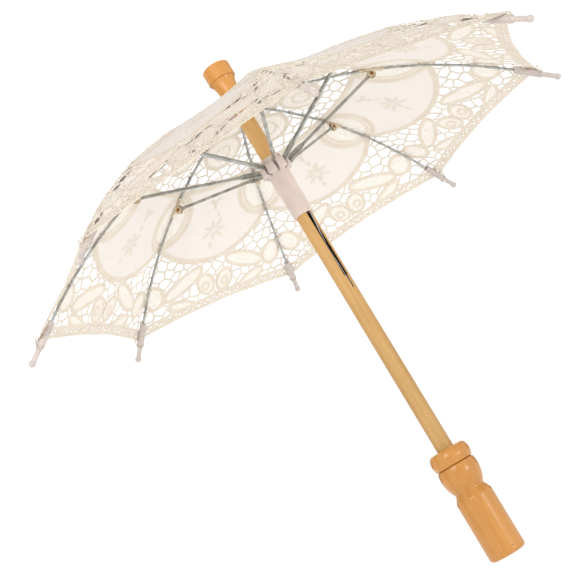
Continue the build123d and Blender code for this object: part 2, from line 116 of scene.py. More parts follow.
# name, place, target, side in m, power in W, colour
LIGHTS = (
    ("key", (0.75, -0.95, 0.05), MIDDLE, 0.32, 3.85, (1, 0.99, 0.97)),
    ("fill", (-1.1, -0.8, 0.3), MIDDLE, 0.6, 1.2, (0.98, 0.985, 1)),
    ("crown", (-0.35, -0.75, 0.5), HUB, 0.35, 2.6, (1, 0.99, 0.97)),
    ("above", (0.5, 0.7, 1.4), MIDDLE, 1.0, 4, (1, 1, 1)),
)
FLOOR_SIZE = 6.0
FLOOR_DROP = 0.0005


def new_piece(name, data):
    """An object in the scene for a mesh, a light or a camera."""
    piece = bpy.data.objects.new(name, data)
    bpy.context.scene.collection.objects.link(piece)
    return piece


def make_camera():
    """Camera at the viewing angle: below the canopy, looking up into it, rolled to the left."""
    cam = new_piece("camera", bpy.data.cameras.new("camera"))
    forward = Vector(
        (
            math.sin(CAMERA_HEADING) * math.cos(CAMERA_TILT),
            math.cos(CAMERA_HEADING) * math.cos(CAMERA_TILT),
            math.sin(CAMERA_TILT),
        )
    )
    level_right = forward.cross(Vector((0, 0, 1))).normalized()
    level_up = level_right.cross(forward)
    right = level_right * math.cos(CAMERA_ROLL) + level_up * math.sin(CAMERA_ROLL)
    up = right.cross(forward)
    turn = Matrix((right, up, -forward)).transposed().to_4x4()
    cam.matrix_world = Matrix.Translation(CAMERA_PLACE) @ turn
    cam.data.lens = CAMERA_LENS
    cam.data.sensor_width = 36
    cam.data.clip_start = 0.01
    cam.data.clip_end = 100
    bpy.context.scene.camera = cam


class Nodes:
    """A material's or world's node tree, with short ways to add and join nodes."""

    def __init__(self, tree):
        self.tree = tree
        self.tree.nodes.clear()

    def add(self, kind, **settings):
        node = self.tree.nodes.new(kind)
        for name, value in settings.items():
            setattr(node, name, value)
        return node

    def join(self, source, target):
        self.tree.links.new(source, target)

    def value(self, socket, value):
        """A plain number or colour goes on the socket; another node's output is joined to it."""
        if isinstance(value, bpy.types.NodeSocket):
            self.join(value, socket)
        else:
            socket.default_value = value

    def maths(self, operation, *values, clamp=False):
        node = self.add("ShaderNodeMath", operation=operation, use_clamp=clamp)
        for socket, value in zip(node.inputs, values):
            self.value(socket, value)
        return node.outputs[0]

    def place(self, scale=(1, 1, 1), uv=False, turn=(0, 0, 0)):
        """Texture coordinates: the piece's own space in metres, or the flat cloth's in mm."""
        source = self.add("ShaderNodeTexCoord").outputs["UV" if uv else "Object"]
        mapping = self.add("ShaderNodeMapping")
        self.join(source, mapping.inputs["Vector"])
        mapping.inputs["Scale"].default_value = scale
        mapping.inputs["Rotation"].default_value = turn
        return mapping.outputs[0]

    def axes(self, coordinates="Object"):
        """X, Y and Z of the piece's own space, in metres, or of its normal."""
        node = self.add("ShaderNodeSeparateXYZ")
        self.join(self.add("ShaderNodeTexCoord").outputs[coordinates], node.inputs[0])
        return node.outputs

    def noise(self, where, scale, detail=3.0, roughness=0.5):
        node = self.add("ShaderNodeTexNoise")
        self.join(where, node.inputs["Vector"])
        node.inputs["Scale"].default_value = scale
        node.inputs["Detail"].default_value = detail
        node.inputs["Roughness"].default_value = roughness
        return node.outputs["Fac"]

    def wave(self, where, scale, distortion=0.0, direction="X"):
        node = self.add("ShaderNodeTexWave", bands_direction=direction)
        self.join(where, node.inputs["Vector"])
        node.inputs["Scale"].default_value = scale
        node.inputs["Distortion"].default_value = distortion
        return node.outputs["Fac"]

    def ramp(self, factor, *stops):
        node = self.add("ShaderNodeValToRGB")
        self.join(factor, node.inputs["Fac"])
        ramp = node.color_ramp
        while len(ramp.elements) < len(stops):
            ramp.elements.new(0.5)
        for element, (position, colour) in zip(ramp.elements, stops):
            element.position = position
            element.color = (*colour, 1)
        return node.outputs["Color"]

    def mix(self, factor, first, second, blend="MIX"):
        node = self.add("ShaderNodeMix", data_type="RGBA", blend_type=blend)
        self.value(node.inputs[0], factor)
        self.value(node.inputs[6], first)
        self.value(node.inputs[7], second)
        return node.outputs[2]

    def bump(self, height, strength, distance):
        node = self.add("ShaderNodeBump")
        self.join(height, node.inputs["Height"])
        node.inputs["Strength"].default_value = strength
        node.inputs["Distance"].default_value = distance
        return node.outputs["Normal"]

    def principled(self, colour, roughness, **inputs):
        node = self.add("ShaderNodeBsdfPrincipled")
        self.value(node.inputs["Base Color"], colour)
        self.value(node.inputs["Roughness"], roughness)
        for name, value in inputs.items():
            self.value(node.inputs[name.replace("_", " ")], value)
        return node.outputs[0]

    def mix_shaders(self, share, first, second):
        """The first shader at a share of 0 and the second at 1."""
        node = self.add("ShaderNodeMixShader")
        self.value(node.inputs[0], share)
        self.join(first, node.inputs[1])
        self.join(second, node.inputs[2])
        return node.outputs[0]

    def finish(self, shader):
        output = self.add("ShaderNodeOutputMaterial")
        self.join(shader, output.inputs["Surface"])


def material(name):
    """A new node material and its tree."""
    made = bpy.data.materials.new(name)
    made.use_nodes = True
    return made, Nodes(made.node_tree)


def make_light(name, place, target, size, power, colour):
    """A soft square area light that points at a target."""
    data = bpy.data.lights.new(name, "AREA")
    data.shape = "SQUARE"
    data.size = size
    data.energy = power
    data.color = colour
    lamp = new_piece(name, data)
    lamp.location = place
    direction = Vector(target) - Vector(place)
    lamp.rotation_mode = "QUATERNION"
    lamp.rotation_quaternion = direction.to_track_quat("-Z", "Y")
    lamp.visible_camera = False


def make_studio():
    """White world and floor, and soft lights that shape the wood and the wires."""
    scene = bpy.context.scene
    scene.view_settings.view_transform = "Standard"
    world = bpy.data.worlds.new("studio")
    world.use_nodes = True
    scene.world = world
    nodes = Nodes(world.node_tree)
    path = nodes.add("ShaderNodeLightPath").outputs
    around = nodes.add("ShaderNodeTexCoord").outputs["Generated"]
    flags = nodes.noise(around, 1.7, 1, 0.4)
    mirrored = nodes.maths("MULTIPLY_ADD", flags, 4.2, -1.55)
    mirrored = nodes.maths("MINIMUM", nodes.maths("MAXIMUM", mirrored, 0.06), 1.15)
    soft = nodes.maths("MULTIPLY_ADD", path["Is Camera Ray"], 0.04, 1.02)
    change = nodes.maths("SUBTRACT", mirrored, soft)
    strength = nodes.maths("MULTIPLY_ADD", change, path["Is Glossy Ray"], soft)
    background = nodes.add("ShaderNodeBackground")
    background.inputs["Color"].default_value = (1, 1, 1, 1)
    nodes.join(strength, background.inputs["Strength"])
    output = nodes.add("ShaderNodeOutputWorld")
    nodes.join(background.outputs[0], output.inputs["Surface"])
    for settings in LIGHTS:
        make_light(*settings)
    mesh = bpy.data.meshes.new("floor")
    half = FLOOR_SIZE / 2
    ring = [(-half, -half, 0), (half, -half, 0), (half, half, 0), (-half, half, 0)]
    mesh.from_pydata(ring, [], [(0, 1, 2, 3)])
    floor = new_piece("floor", mesh)
    floor.location.z = -FLOOR_DROP
    made, nodes = material("floor")
    diffuse = nodes.add("ShaderNodeBsdfDiffuse")
    diffuse.inputs["Color"].default_value = (0.86, 0.86, 0.86, 1)
    glow = nodes.add("ShaderNodeEmission")
    glow.inputs["Strength"].default_value = 1.22
    nodes.finish(nodes.mix_shaders(0.7, diffuse.outputs[0], glow.outputs[0]))
    mesh.materials.append(made)


# ---------------------------------------------------------------- materials


def near_point(nodes, point, reach):
    """1 close round a point of the piece's own space, 0 further off than the reach."""
    where = nodes.add("ShaderNodeTexCoord").outputs["Object"]
    apart = nodes.add("ShaderNodeVectorMath", operation="DISTANCE")
    nodes.join(where, apart.inputs[0])
    apart.inputs[1].default_value = point
    share = nodes.maths("DIVIDE", apart.outputs["Value"], reach)
    return nodes.maths("SUBTRACT", 1.6, nodes.maths("MULTIPLY", share, 1.6), clamp=True)


def under_skin(nodes, skin_r):
    """1 inside the round skin of a piece that stands on the Z axis, 0 on the skin."""
    x, y, _ = nodes.axes()
    x2, y2 = nodes.maths("MULTIPLY", x, x), nodes.maths("MULTIPLY", y, y)
    radius = nodes.maths("SQRT", nodes.maths("ADD", x2, y2))
    return nodes.maths("LESS_THAN", radius, skin_r)


def toned(nodes, colour, full_z):
    """The colour in full near full_z and darker lower down, to even out the scene's lights.

    It stands for no change in the wood itself.
    """
    height = nodes.maths("DIVIDE", nodes.axes()["Z"], full_z, clamp=True)
    tone = nodes.ramp(height, (0.45, (0.70, 0.68, 0.64)), (0.97, (1, 1, 1)))
    return nodes.mix(1.0, colour, tone, "MULTIPLY")


def wood(name, light, middle, dark, roughness, coat, skin_r=None, pit=None, full_z=None):
    """Turned wood with straight grain along the shaft, darker pores and a worn sheen.

    Inside skin_r it is painted shade, nearly black, in a slot; pit is a small dark fault; below
    full_z it is toned down for the lights.
    """
    made, nodes = material(name)
    stretched = nodes.place((1, 1, 0.035))
    broad = nodes.noise(stretched, 330, 4, 0.6)
    fine = nodes.noise(nodes.place((1, 1, 0.02)), 1500, 3, 0.6)
    cloudy = nodes.noise(nodes.place((1, 1, 0.5)), 45, 2)
    grain = nodes.maths("MULTIPLY_ADD", fine, 0.45, nodes.maths("MULTIPLY", broad, 0.65))
    colour = nodes.ramp(grain, (0.30, dark), (0.52, middle), (0.78, light))
    shade = nodes.ramp(cloudy, (0.3, (0.90, 0.87, 0.83)), (0.7, (1, 1, 1)))
    colour = nodes.mix(1.0, colour, shade, "MULTIPLY")
    if full_z is not None:
        colour = toned(nodes, colour, full_z)
    if skin_r is not None:
        # painted shade: the wood inside the slot, within skin_r, is made nearly black
        colour = nodes.mix(under_skin(nodes, skin_r), colour, (0.035, 0.016, 0.008, 1))
    if pit is not None:
        colour = nodes.mix(near_point(nodes, pit, 0.0007), colour, (0.12, 0.04, 0.012, 1))
    rough = nodes.maths("MULTIPLY_ADD", fine, 0.25, roughness - 0.12)
    normal = nodes.bump(grain, 0.25, 0.0002)
    shader = nodes.principled(
        colour,
        rough,
        Normal=normal,
        Coat_Weight=coat,
        Coat_Roughness=0.19,
        Specular_IOR_Level=0.35,
    )
    nodes.finish(shader)
    return made


def steel(name, colour, roughness):
    """Drawn steel with fine marks along its length and dull spots."""
    made, nodes = material(name)
    where = nodes.place()
    marks = nodes.noise(where, 900, 4, 0.7)
    spots = nodes.noise(where, 140, 2)
    dark = tuple(0.55 * c for c in colour)
    tint = nodes.ramp(spots, (0.3, dark), (0.62, colour))
    rough = nodes.maths("MULTIPLY_ADD", marks, 0.25, roughness - 0.1)
    normal = nodes.bump(marks, 0.12, 0.0001)
    nodes.finish(nodes.principled(tint, rough, Metallic=1.0, Normal=normal))
    return made


def brass(name, colour, dark):
    """Dull brass or copper with tarnish in patches."""
    made, nodes = material(name)
    where = nodes.place()
    patches = nodes.noise(where, 500, 4, 0.65)
    tint = nodes.ramp(patches, (0.36, dark), (0.6, colour))
    rough = nodes.maths("MULTIPLY_ADD", patches, 0.3, 0.22)
    normal = nodes.bump(patches, 0.2, 0.0001)
    nodes.finish(nodes.principled(tint, rough, Metallic=0.85, Normal=normal))
    return made


def milky_plastic(name, colour, edge):
    """Moulded plastic that lets some light through, with faint flow marks."""
    made, nodes = material(name)
    flow = nodes.noise(nodes.place((1, 1, 0.25)), 160, 3)
    speckle = nodes.noise(nodes.place(), 1800, 2)
    tint = nodes.ramp(flow, (0.3, edge), (0.7, colour))
    rough = nodes.maths("MULTIPLY_ADD", speckle, 0.18, 0.26)
    normal = nodes.bump(speckle, 0.12, 0.0001)
    shader = nodes.principled(
        tint,
        rough,
        Normal=normal,
        Subsurface_Weight=0.2,
        Subsurface_Scale=0.002,
        Subsurface_Radius=(1.0, 0.85, 0.8),
        Specular_IOR_Level=0.55,
    )
    nodes.finish(shader)
    return made


def outer_side(nodes):
    """1 on the cover's upper side, where the cords stand up and painted shade goes, 0 below."""
    return nodes.maths("MULTIPLY_ADD", nodes.axes("Normal")["Z"], 2.5, 0.5, clamp=True)


def speckled_and_shaded(nodes, colour):
    """The colour, greyer on the upper side as painted shade, and speckled with dirt between its
    raised threads.
    """
    speckle = nodes.noise(nodes.place(uv=True), 1.0, 4, 0.75)
    # the ramp greys the whole upper side as painted shade, with darker dirt specks
    dust_and_shade = nodes.ramp(
        speckle,
        (0.36, (0.44, 0.40, 0.36)),
        (0.46, (0.74, 0.72, 0.70)),
        (0.60, (0.95, 0.945, 0.94)),
    )
    dusty_and_shaded = nodes.mix(1.0, colour, dust_and_shade, "MULTIPLY")
    return nodes.mix(outer_side(nodes), colour, dusty_and_shaded)


def cloth_shader(nodes, colour, see_through, roughness, normal):
    """Cotton: diffuse with a soft sheen, and part of the light passing through it."""
    surface = nodes.principled(
        colour,
        roughness,
        Normal=normal,
        Sheen_Weight=0.25,
        Sheen_Roughness=0.5,
        Specular_IOR_Level=0.2,
    )
    through = nodes.add("ShaderNodeBsdfTranslucent")
    nodes.value(through.inputs["Color"], colour)
    nodes.join(normal, through.inputs["Normal"])
    return nodes.mix_shaders(see_through, surface, through.outputs[0])


def tape_cloth(name, light, dark):
    """Braided cotton tape: slanting plaits both ways, thread by thread, uneven in tone."""
    made, nodes = material(name)
    rising = nodes.wave(nodes.place(uv=True, turn=(0, 0, 0.6)), 0.42, 0.6)
    falling = nodes.wave(nodes.place(uv=True, turn=(0, 0, -0.6)), 0.42, 0.6)
    plait = nodes.maths("MULTIPLY", rising, falling)
    fibre = nodes.noise(nodes.place(uv=True), 3.2, 3, 0.7)
    patches = nodes.noise(nodes.place(uv=True), 0.09, 3)
    mixed = nodes.maths("MULTIPLY_ADD", plait, 0.45, nodes.maths("MULTIPLY", patches, 0.75))
    colour = nodes.ramp(mixed, (0.25, dark), (0.62, light))
    # upper side greyed as painted shade, with dirt specks
    colour = speckled_and_shaded(nodes, colour)
    height = nodes.maths("ADD", plait, nodes.maths("MULTIPLY", fibre, 0.9))
    normal = nodes.bump(height, 0.6, 0.0003)
    nodes.finish(cloth_shader(nodes, colour, 0.38, 0.9, normal))
    return made


def net_cloth(name, light, dark):
    """Fine needle-made net: thin threads round small uneven holes."""
    made, nodes = material(name)
    where = nodes.place(uv=True)
    cells = nodes.add("ShaderNodeTexVoronoi", feature="DISTANCE_TO_EDGE")
    nodes.join(where, cells.inputs["Vector"])
    cells.inputs["Scale"].default_value = 0.62
    cells.inputs["Randomness"].default_value = 0.55
    thread = nodes.maths("LESS_THAN", cells.outputs["Distance"], 0.2)
    fuzz = nodes.noise(where, 2.5, 3, 0.7)
    # upper side greyed as painted shade, with dirt specks
    colour = speckled_and_shaded(nodes, nodes.ramp(fuzz, (0.3, dark), (0.65, light)))
    normal = nodes.bump(fuzz, 0.5, 0.0003)
    solid = cloth_shader(nodes, colour, 0.42, 0.92, normal)
    clear = nodes.add("ShaderNodeBsdfTransparent")
    nodes.finish(nodes.mix_shaders(thread, clear.outputs[0], solid))
    return made


def plain_cotton(name, light, dark):
    """Plain woven cotton: fine warp and weft, faint slubs and a little unevenness."""
    made, nodes = material(name)
    where = nodes.place(uv=True)
    warp = nodes.wave(where, 0.95, 0.3, "X")
    weft = nodes.wave(where, 0.95, 0.3, "Y")
    weave = nodes.maths("MULTIPLY", warp, weft)
    slubs = nodes.noise(nodes.place((0.3, 2.5, 1), uv=True), 0.6, 3)
    patches = nodes.noise(where, 0.05, 3)
    tone = nodes.maths("MULTIPLY_ADD", weave, 0.25, nodes.maths("MULTIPLY", patches, 0.6))
    tone = nodes.maths("MULTIPLY_ADD", slubs, 0.3, tone)
    # upper side greyed as painted shade, with dirt specks
    colour = speckled_and_shaded(nodes, nodes.ramp(tone, (0.3, dark), (0.68, light)))
    normal = nodes.bump(nodes.maths("ADD", weave, slubs), 0.3, 0.0002)
    nodes.finish(cloth_shader(nodes, colour, 0.45, 0.88, normal))
    return made


# ---------------------------------------------------------------- the canopy's shape


def lace_gap(radius):
    """Height of the cloth's middle above the rib's axis: low over the wire, high at the tip."""
    share = (radius - LACE_START_R) / (LACE_HEM_R + 1 - LACE_START_R)
    start, bend, rise = 1.65, -0.769, 2.719
    return start + bend * share + rise * share**2


def rib_profile():
    """Radius and height of the cloth along a rib, out to a little past the hem."""
    along = np.linspace(0, 220, 900)
    slope = RIB_START_SLOPE + np.minimum(along, RIB_ARC_LENGTH) / RIB_ARC_R
    past = np.maximum(along - RIB_ARC_LENGTH, 0)
    wire_r = ARC_CENTRE_R + RIB_ARC_R * np.sin(slope) + past * np.cos(slope)
    wire_z = ARC_CENTRE_Z + RIB_ARC_R * np.cos(slope) - past * np.sin(slope)
    gap = lace_gap(wire_r)
    return wire_r + gap * np.sin(slope), wire_z + gap * np.cos(slope)


class Canopy:
    """The cover as flat panels between ribs, each bent only along its length.

    A place on a panel is (u, v): u across from the panel's middle line, v outwards along the
    cloth from the shaft, both in mm on the flat cloth.
    """

    def __init__(self):
        radius, height = rib_profile()
        self.depth = radius * math.cos(HALF_PANEL)
        self.height = height
        steps = np.hypot(np.diff(self.depth), np.diff(self.height))
        self.v = self.depth[0] + np.concatenate([[0], np.cumsum(steps)])
        self.v_start = np.interp(LACE_START_R * math.cos(HALF_PANEL), self.depth, self.v)
        self.v_corner = np.interp(LACE_HEM_R * math.cos(HALF_PANEL), self.depth, self.v)
        tangent_d = np.gradient(self.depth, self.v)
        tangent_z = np.gradient(self.height, self.v)
        self.normal_d = -tangent_z
        self.normal_z = tangent_d

    def depth_at(self, v):
        return np.interp(v, self.v, self.depth)

    def half_width(self, v):
        """Distance across from a panel's middle line to its rib."""
        return self.depth_at(v) * math.tan(HALF_PANEL)

    def hem(self, u):
        """Where the hollow hem lies, at a distance across from the middle line."""
        middle = (LACE_HEM_R - HEM_SCALLOP) * math.cos(HALF_PANEL)
        corner = LACE_HEM_R * math.cos(HALF_PANEL)
        reach = LACE_HEM_R * math.sin(HALF_PANEL)
        depth = middle + (corner - middle) * (u / reach) ** 2
        return np.interp(depth, self.depth, self.v)


CANOPY = Canopy()


# ---------------------------------------------------------------- the lace's flat pattern


def ellipse(u, v, centre, size, turn=0.0):
    """Distance inside an ellipse, in mm; negative outside."""
    du, dv = u - centre[0], v - centre[1]
    along = du * math.cos(turn) + dv * math.sin(turn)
    across = dv * math.cos(turn) - du * math.sin(turn)
    reach = np.hypot(along / size[0], across / size[1])
    slope = np.hypot(along / size[0] ** 2, across / size[1] ** 2) / np.maximum(reach, 1e-6)
    return (1 - reach) / np.maximum(slope, 1e-6)


def smallest(*fields):
    return np.minimum.reduce(fields)


def largest(*fields):
    return np.maximum.reduce(fields)


class Pattern:
    """One panel's lace: where its cloth is, how thick, and which cloth it is.

    Every field is a distance in mm, positive inside. Tapes are followed as lines with a
    width, the ground is a net of single threads, and each panel is a little different,
    as hand work is.
    """

    TAPE, NET, COTTON, STITCH = range(4)

    def __init__(self, number):
        self.random = np.random.default_rng(400 + number)
        self.seeds = self.ground_seeds()
        self.shifts = self.random.uniform(-1.6, 1.6, (16, 2))
        self.turns = self.random.uniform(-0.09, 0.09, 16)

    def ground_seeds(self):
        """Centres of the open cells: uneven rows, one cell about a pitch from the next."""
        rows = []
        for row in range(-2, 30):
            for column in range(-13, 14):
                across = (column + 0.5 * (row % 2)) * GROUND_PITCH
                rows.append((across, row * GROUND_PITCH * 0.87))
        seeds = np.array(rows)
        uneven = self.random.uniform(-GROUND_UNEVEN, GROUND_UNEVEN, seeds.shape)
        return seeds + uneven * GROUND_PITCH

    def ground(self, u, v):
        """Distance inside the nearest thread between two cells."""
        flat = np.stack([u.ravel(), v.ravel()], 1)
        result = np.empty(len(flat))
        for start in range(0, len(flat), POINTS_AT_ONCE):
            part = flat[start : start + POINTS_AT_ONCE]
            low, high = part.min(0) - GROUND_REACH, part.max(0) + GROUND_REACH
            near = np.all((self.seeds > low) & (self.seeds < high), 1)
            seeds = self.seeds[near]
            gap = np.linalg.norm(part[:, None] - seeds[None], axis=2)
            two = np.argpartition(gap, 1, axis=1)[:, :2]
            first, second = np.take_along_axis(gap, two, 1).T
            apart = np.linalg.norm(seeds[two[:, 0]] - seeds[two[:, 1]], axis=1)
            middle = np.abs(second**2 - first**2) / (2 * apart)
            result[start : start + POINTS_AT_ONCE] = THREAD_HALF - middle
        return result.reshape(u.shape)

    def motifs(self, u, v):
        """Fills the lists of tapes (distance, half width) and of net and stitched fields."""
        tapes, nets, stitches = [], [], []
        side = np.abs(u)
        which = np.where(u < 0, 0, 1)

        def moved(centre, index):
            """A centre on the right, mirrored to the left, each side shifted by its own bit."""
            shift = self.shifts[2 * index + which]
            return side - centre[0] - shift[..., 0], v - centre[1] - shift[..., 1]

        def outlined(field, half, limit=None):
            """A net-filled shape with a tape along its outline, perhaps cut by a limit."""
            line = half - np.abs(field)
            inside = field
            if limit is not None:
                line, inside = smallest(line, limit), smallest(inside, limit)
            tapes.append((line, half))
            nets.append(inside)

        hem = CANOPY.hem(u) - v
        in_cloth = hem - PICOT_DEPTH * (1 - np.abs(np.sin(u * math.pi / PICOT_PITCH)))

        # the cotton medallion: round below, hollow where the rib ovals push in
        below = MEDALLION_R - np.hypot(u, v - MEDALLION_V)
        oval_centre = (CANOPY.half_width(RIB_OVAL_V) + 0.5, RIB_OVAL_V)
        rib_oval = ellipse(side, v, oval_centre, (25.5, 19), 1.2)
        top = v - (MEDALLION_TOP_V - 0.0025 * u**2)
        medallion = smallest(below, -rib_oval, top)
        under_top = smallest(top + 3, 170 - v)
        tapes.append((smallest(2.1 - np.abs(below), v - 124), 2.1))
        tapes.append((smallest(2.2 - np.abs(top), -rib_oval + 1), 2.2))
        outlined(rib_oval, 1.9)
        inner_line = ellipse(side, v, oval_centre, (21, 14.5), 1.2)
        tapes.append((0.8 - np.abs(inner_line), 0.8))

        # the disc near the apex and the close net above it
        outlined(ellipse(u, v, (0, DISC_V), (15.5, 16)), 1.5)
        heart = ellipse(u, v, (0, DISC_V), (6.5, 7))
        tapes.append((0.7 - np.abs(heart), 0.7))
        apex = 36.5 + 1.5 * np.cos(u / 3.0) - v
        outlined(apex, 1.4)
        tapes.append((0.8 - np.abs(apex - 7.5), 0.8))
        tapes.append((0.8 - np.abs(apex - 15), 0.8))

        # slanted leaves between the medallion and the hem
        du, dv = moved((30, 174.5), 0)
        outlined(ellipse(du, dv, (0, 0), (20.5, 6.6), 0.46), 1.35)
        du, dv = moved((33, 196.5), 1)
        outlined(ellipse(du, dv, (0, 0), (15, 5.2), -0.40), 1.2, hem - 6)
        du, dv = moved((CANOPY.half_width(180.0) - 10.5, 179), 2)
        outlined(ellipse(du, dv, (0, 0), (8.8, 10.5), 0.1), 1.3)

        # two scrolls in the middle
        du, dv = moved((9.2, 184), 3)
        scroll = ellipse(du, dv, (0, 0), (7.6, 10), 0.35)
        outlined(scroll, 1.25)
        eye = ellipse(du, dv, (0.5, 1.5), (2.8, 3.6), 0.35)
        tapes.append((0.7 - np.abs(eye), 0.7))

        # the hem: two tapes with a laddered net between
        tapes.append((1.4 - np.abs(hem - 1.45), 1.4))
        tapes.append((1.15 - np.abs(hem - 7.6), 1.15))
        zigzag = np.abs((u / 3.1) % 2 - 1) * 3.9 + 2.7
        rung = smallest(0.55 - np.abs(hem - zigzag) * 0.42, 3.6 - np.abs(hem - 4.6))
        tapes.append((rung, 0.55))

        # the embroidered sprig on the medallion and a small one above it
        for angle, start, length in self.sprig():
            centre = (
                self.shifts[8, 0] + math.cos(angle) * (start + length / 2),
                SPRIG_V + self.shifts[8, 1] + math.sin(angle) * (start + length / 2),
            )
            stitches.append(ellipse(u, v, centre, (length / 2, 1.35), angle))
        for angle in (-2.5, -0.65, 1.55):
            centre = (math.cos(angle) * 3.6, 105 + math.sin(angle) * 3.2)
            stitches.append(ellipse(u, v, centre, (3.2, 1.05), angle))
        return tapes, nets, smallest(medallion, under_top), stitches, in_cloth

    def sprig(self):
        """Angle, start and length of each stitched petal."""
        turn = self.turns[0] * 2
        petals = [(turn + k * math.tau / 7 - 0.3, 2.2, 7.5 + 2.2 * (k % 2)) for k in range(7)]
        return petals + [(turn + 1.45, 12.5, 5.0), (turn - 1.7, 12.0, 4.5)]

    def fields(self, u, v):
        """(cloth distance, half thickness, zone) on the flat panel."""
        tapes, nets, cotton, stitches, in_cloth = self.motifs(u, v)
        uneven = np.sin(2.2 * u + 1.3 * np.sin(0.7 * v)) * np.sin(2.4 * v + np.sin(0.9 * u))
        tapes = [(line + EDGE_WAVER * uneven, width) for line, width in tapes]
        tape = largest(*(line for line, _ in tapes))
        net = largest(*nets)
        closed = largest(tape, net, cotton)
        thread = self.ground(u, v)
        cloth = smallest(largest(closed, thread), in_cloth)

        half = np.full(u.shape, CLOTH_HALF)
        for line, width in tapes:
            edge = np.clip(line / min(width, 0.8), 0, 1)
            half = np.maximum(half, CLOTH_HALF + TAPE_RISE * np.sqrt(edge))
        round_thread = np.sqrt(np.clip(thread / THREAD_HALF, 0, 1))
        half = np.where(closed > 0, half, OPEN_THREAD_HALF + THREAD_RISE * round_thread)
        for petal in stitches:
            round_stitch = np.sqrt(np.clip(petal / 1.2, 0, 1))
            half = np.maximum(half, CLOTH_HALF + STITCH_RISE * round_stitch)
        zone = np.full(u.shape, self.TAPE)
        zone[(net > 0) & (tape <= 0)] = self.NET
        zone[(cotton > 0) & (tape <= 0) & (net <= 0)] = self.COTTON
        for petal in stitches:
            zone[(petal > 0) & (tape <= 0)] = self.STITCH
        return cloth, half, zone


# ---------------------------------------------------------------- lace as a mesh

# For each set of a cell's corners that are cloth: its polygons. 0 to 3 are the corners,
# anticlockwise, and 4 to 7 the crossings on the edges that start at them.
CELL_SHAPES = {
    1: [(0, 4, 7)],
    2: [(1, 5, 4)],
    3: [(0, 1, 5, 7)],
    4: [(2, 6, 5)],
    5: [(0, 4, 7), (2, 6, 5)],
    6: [(1, 2, 6, 4)],
    7: [(0, 1, 2, 6, 7)],
    8: [(3, 7, 6)],
    9: [(0, 4, 6, 3)],
    10: [(1, 5, 4), (3, 7, 6)],
    11: [(0, 1, 5, 6, 3)],
    12: [(2, 3, 7, 5)],
    13: [(0, 4, 5, 2, 3)],
    14: [(1, 2, 3, 7, 4)],
    15: [(0, 1, 2, 3)],
}


class Cells:
    """Flat outline of a field on a grid: points, polygons with a zone, and edge pieces."""

    def __init__(self, across, outwards, field, half, zone):
        self.shape = across.shape
        corner_count = across.size
        inside = field > 0
        index = np.arange(corner_count).reshape(self.shape)
        flat = [across.ravel(), outwards.ravel(), half.ravel()]
        points = [np.stack(flat, 1)]
        self.crossing = {}
        made = corner_count
        every = slice(None)
        but_last, but_first = slice(None, -1), slice(1, None)
        for axis in (0, 1):
            first = (but_last, every) if axis == 0 else (every, but_last)
            second = (but_first, every) if axis == 0 else (every, but_first)
            crosses = inside[first] != inside[second]
            a, b = index[first][crosses], index[second][crosses]
            fa, fb = field[first][crosses], field[second][crosses]
            share = np.clip(fa / (fa - fb), 0.04, 0.96)[:, None]
            new = points[0][a] * (1 - share) + points[0][b] * share
            new[:, 2] = np.minimum(new[:, 2], RIM_HALF)
            points.append(new)
            table = np.full(crosses.shape, -1)
            table[crosses] = made + np.arange(len(new))
            self.crossing[axis] = table
            made += len(new)
        self.points = np.concatenate(points)
        self.build(inside, index, zone)

    def build(self, inside, index, zone):
        corner = [index[:-1, :-1], index[1:, :-1], index[1:, 1:], index[:-1, 1:]]
        ins = [inside[:-1, :-1], inside[1:, :-1], inside[1:, 1:], inside[:-1, 1:]]
        zones = [zone[:-1, :-1], zone[1:, :-1], zone[1:, 1:], zone[:-1, 1:]]
        along, over = self.crossing[0], self.crossing[1]
        edge = [along[:, :-1], over[1:, :], along[:, 1:], over[:-1, :]]
        codes = np.stack(corner + edge, -1)
        case = sum(ins[i].astype(int) << i for i in range(4))
        cloth_zone = np.where(ins[0], zones[0], 0)
        for i in (1, 2, 3):
            cloth_zone = np.maximum(cloth_zone, np.where(ins[i], zones[i], 0))
        least = np.full(case.shape, 9)
        for i in range(4):
            least = np.where(ins[i], np.minimum(least, zones[i]), least)
        cloth_zone = np.where(least == Pattern.TAPE, Pattern.TAPE, cloth_zone)
        self.polygons, self.edges = [], []
        for number, shapes in CELL_SHAPES.items():
            here = case == number
            if not here.any():
                continue
            cell = codes[here]
            for shape in shapes:
                self.polygons.append((cell[:, list(shape)], cloth_zone[here]))
                for a, b in zip(shape, shape[1:] + shape[:1]):
                    if a > 3 and b > 3:
                        self.edges.append(cell[:, [a, b]])
        self.edges = np.concatenate(self.edges)


def gore_grid():
    """Distance across from the rib and distance out along the cloth, on a regular grid."""
    widest = CANOPY.half_width(CANOPY.v_corner)
    columns = int(widest / GRID) + 2
    across = np.arange(-columns, columns + 1) * GRID
    rows = np.arange(CANOPY.v_start, CANOPY.v_corner + GRID, GRID)
    return np.meshgrid(across, rows, indexing="ij")


def panel_sag(u, v, number):
    """How far the cloth hangs in between its ribs, with slight folds, in mm."""
    width = CANOPY.half_width(v)
    between = np.clip(1 - (u / width) ** 2, 0, 1)
    out = (v - CANOPY.v_start) / (CANOPY.v_corner - CANOPY.v_start)
    sag = 2.4 * np.sin(np.clip(out, 0, 1) * math.pi * 0.8)
    folds = 0.35 * np.sin(u / 7.5 + 1.3 * number) * np.sin(v / 23.0 + 0.7 * number)
    pull = 0.5 * np.sin(v / 6.0 + number) * np.clip((np.abs(u) / width - 0.6) / 0.4, 0, 1)
    return (sag + folds + pull * 0.6) * between


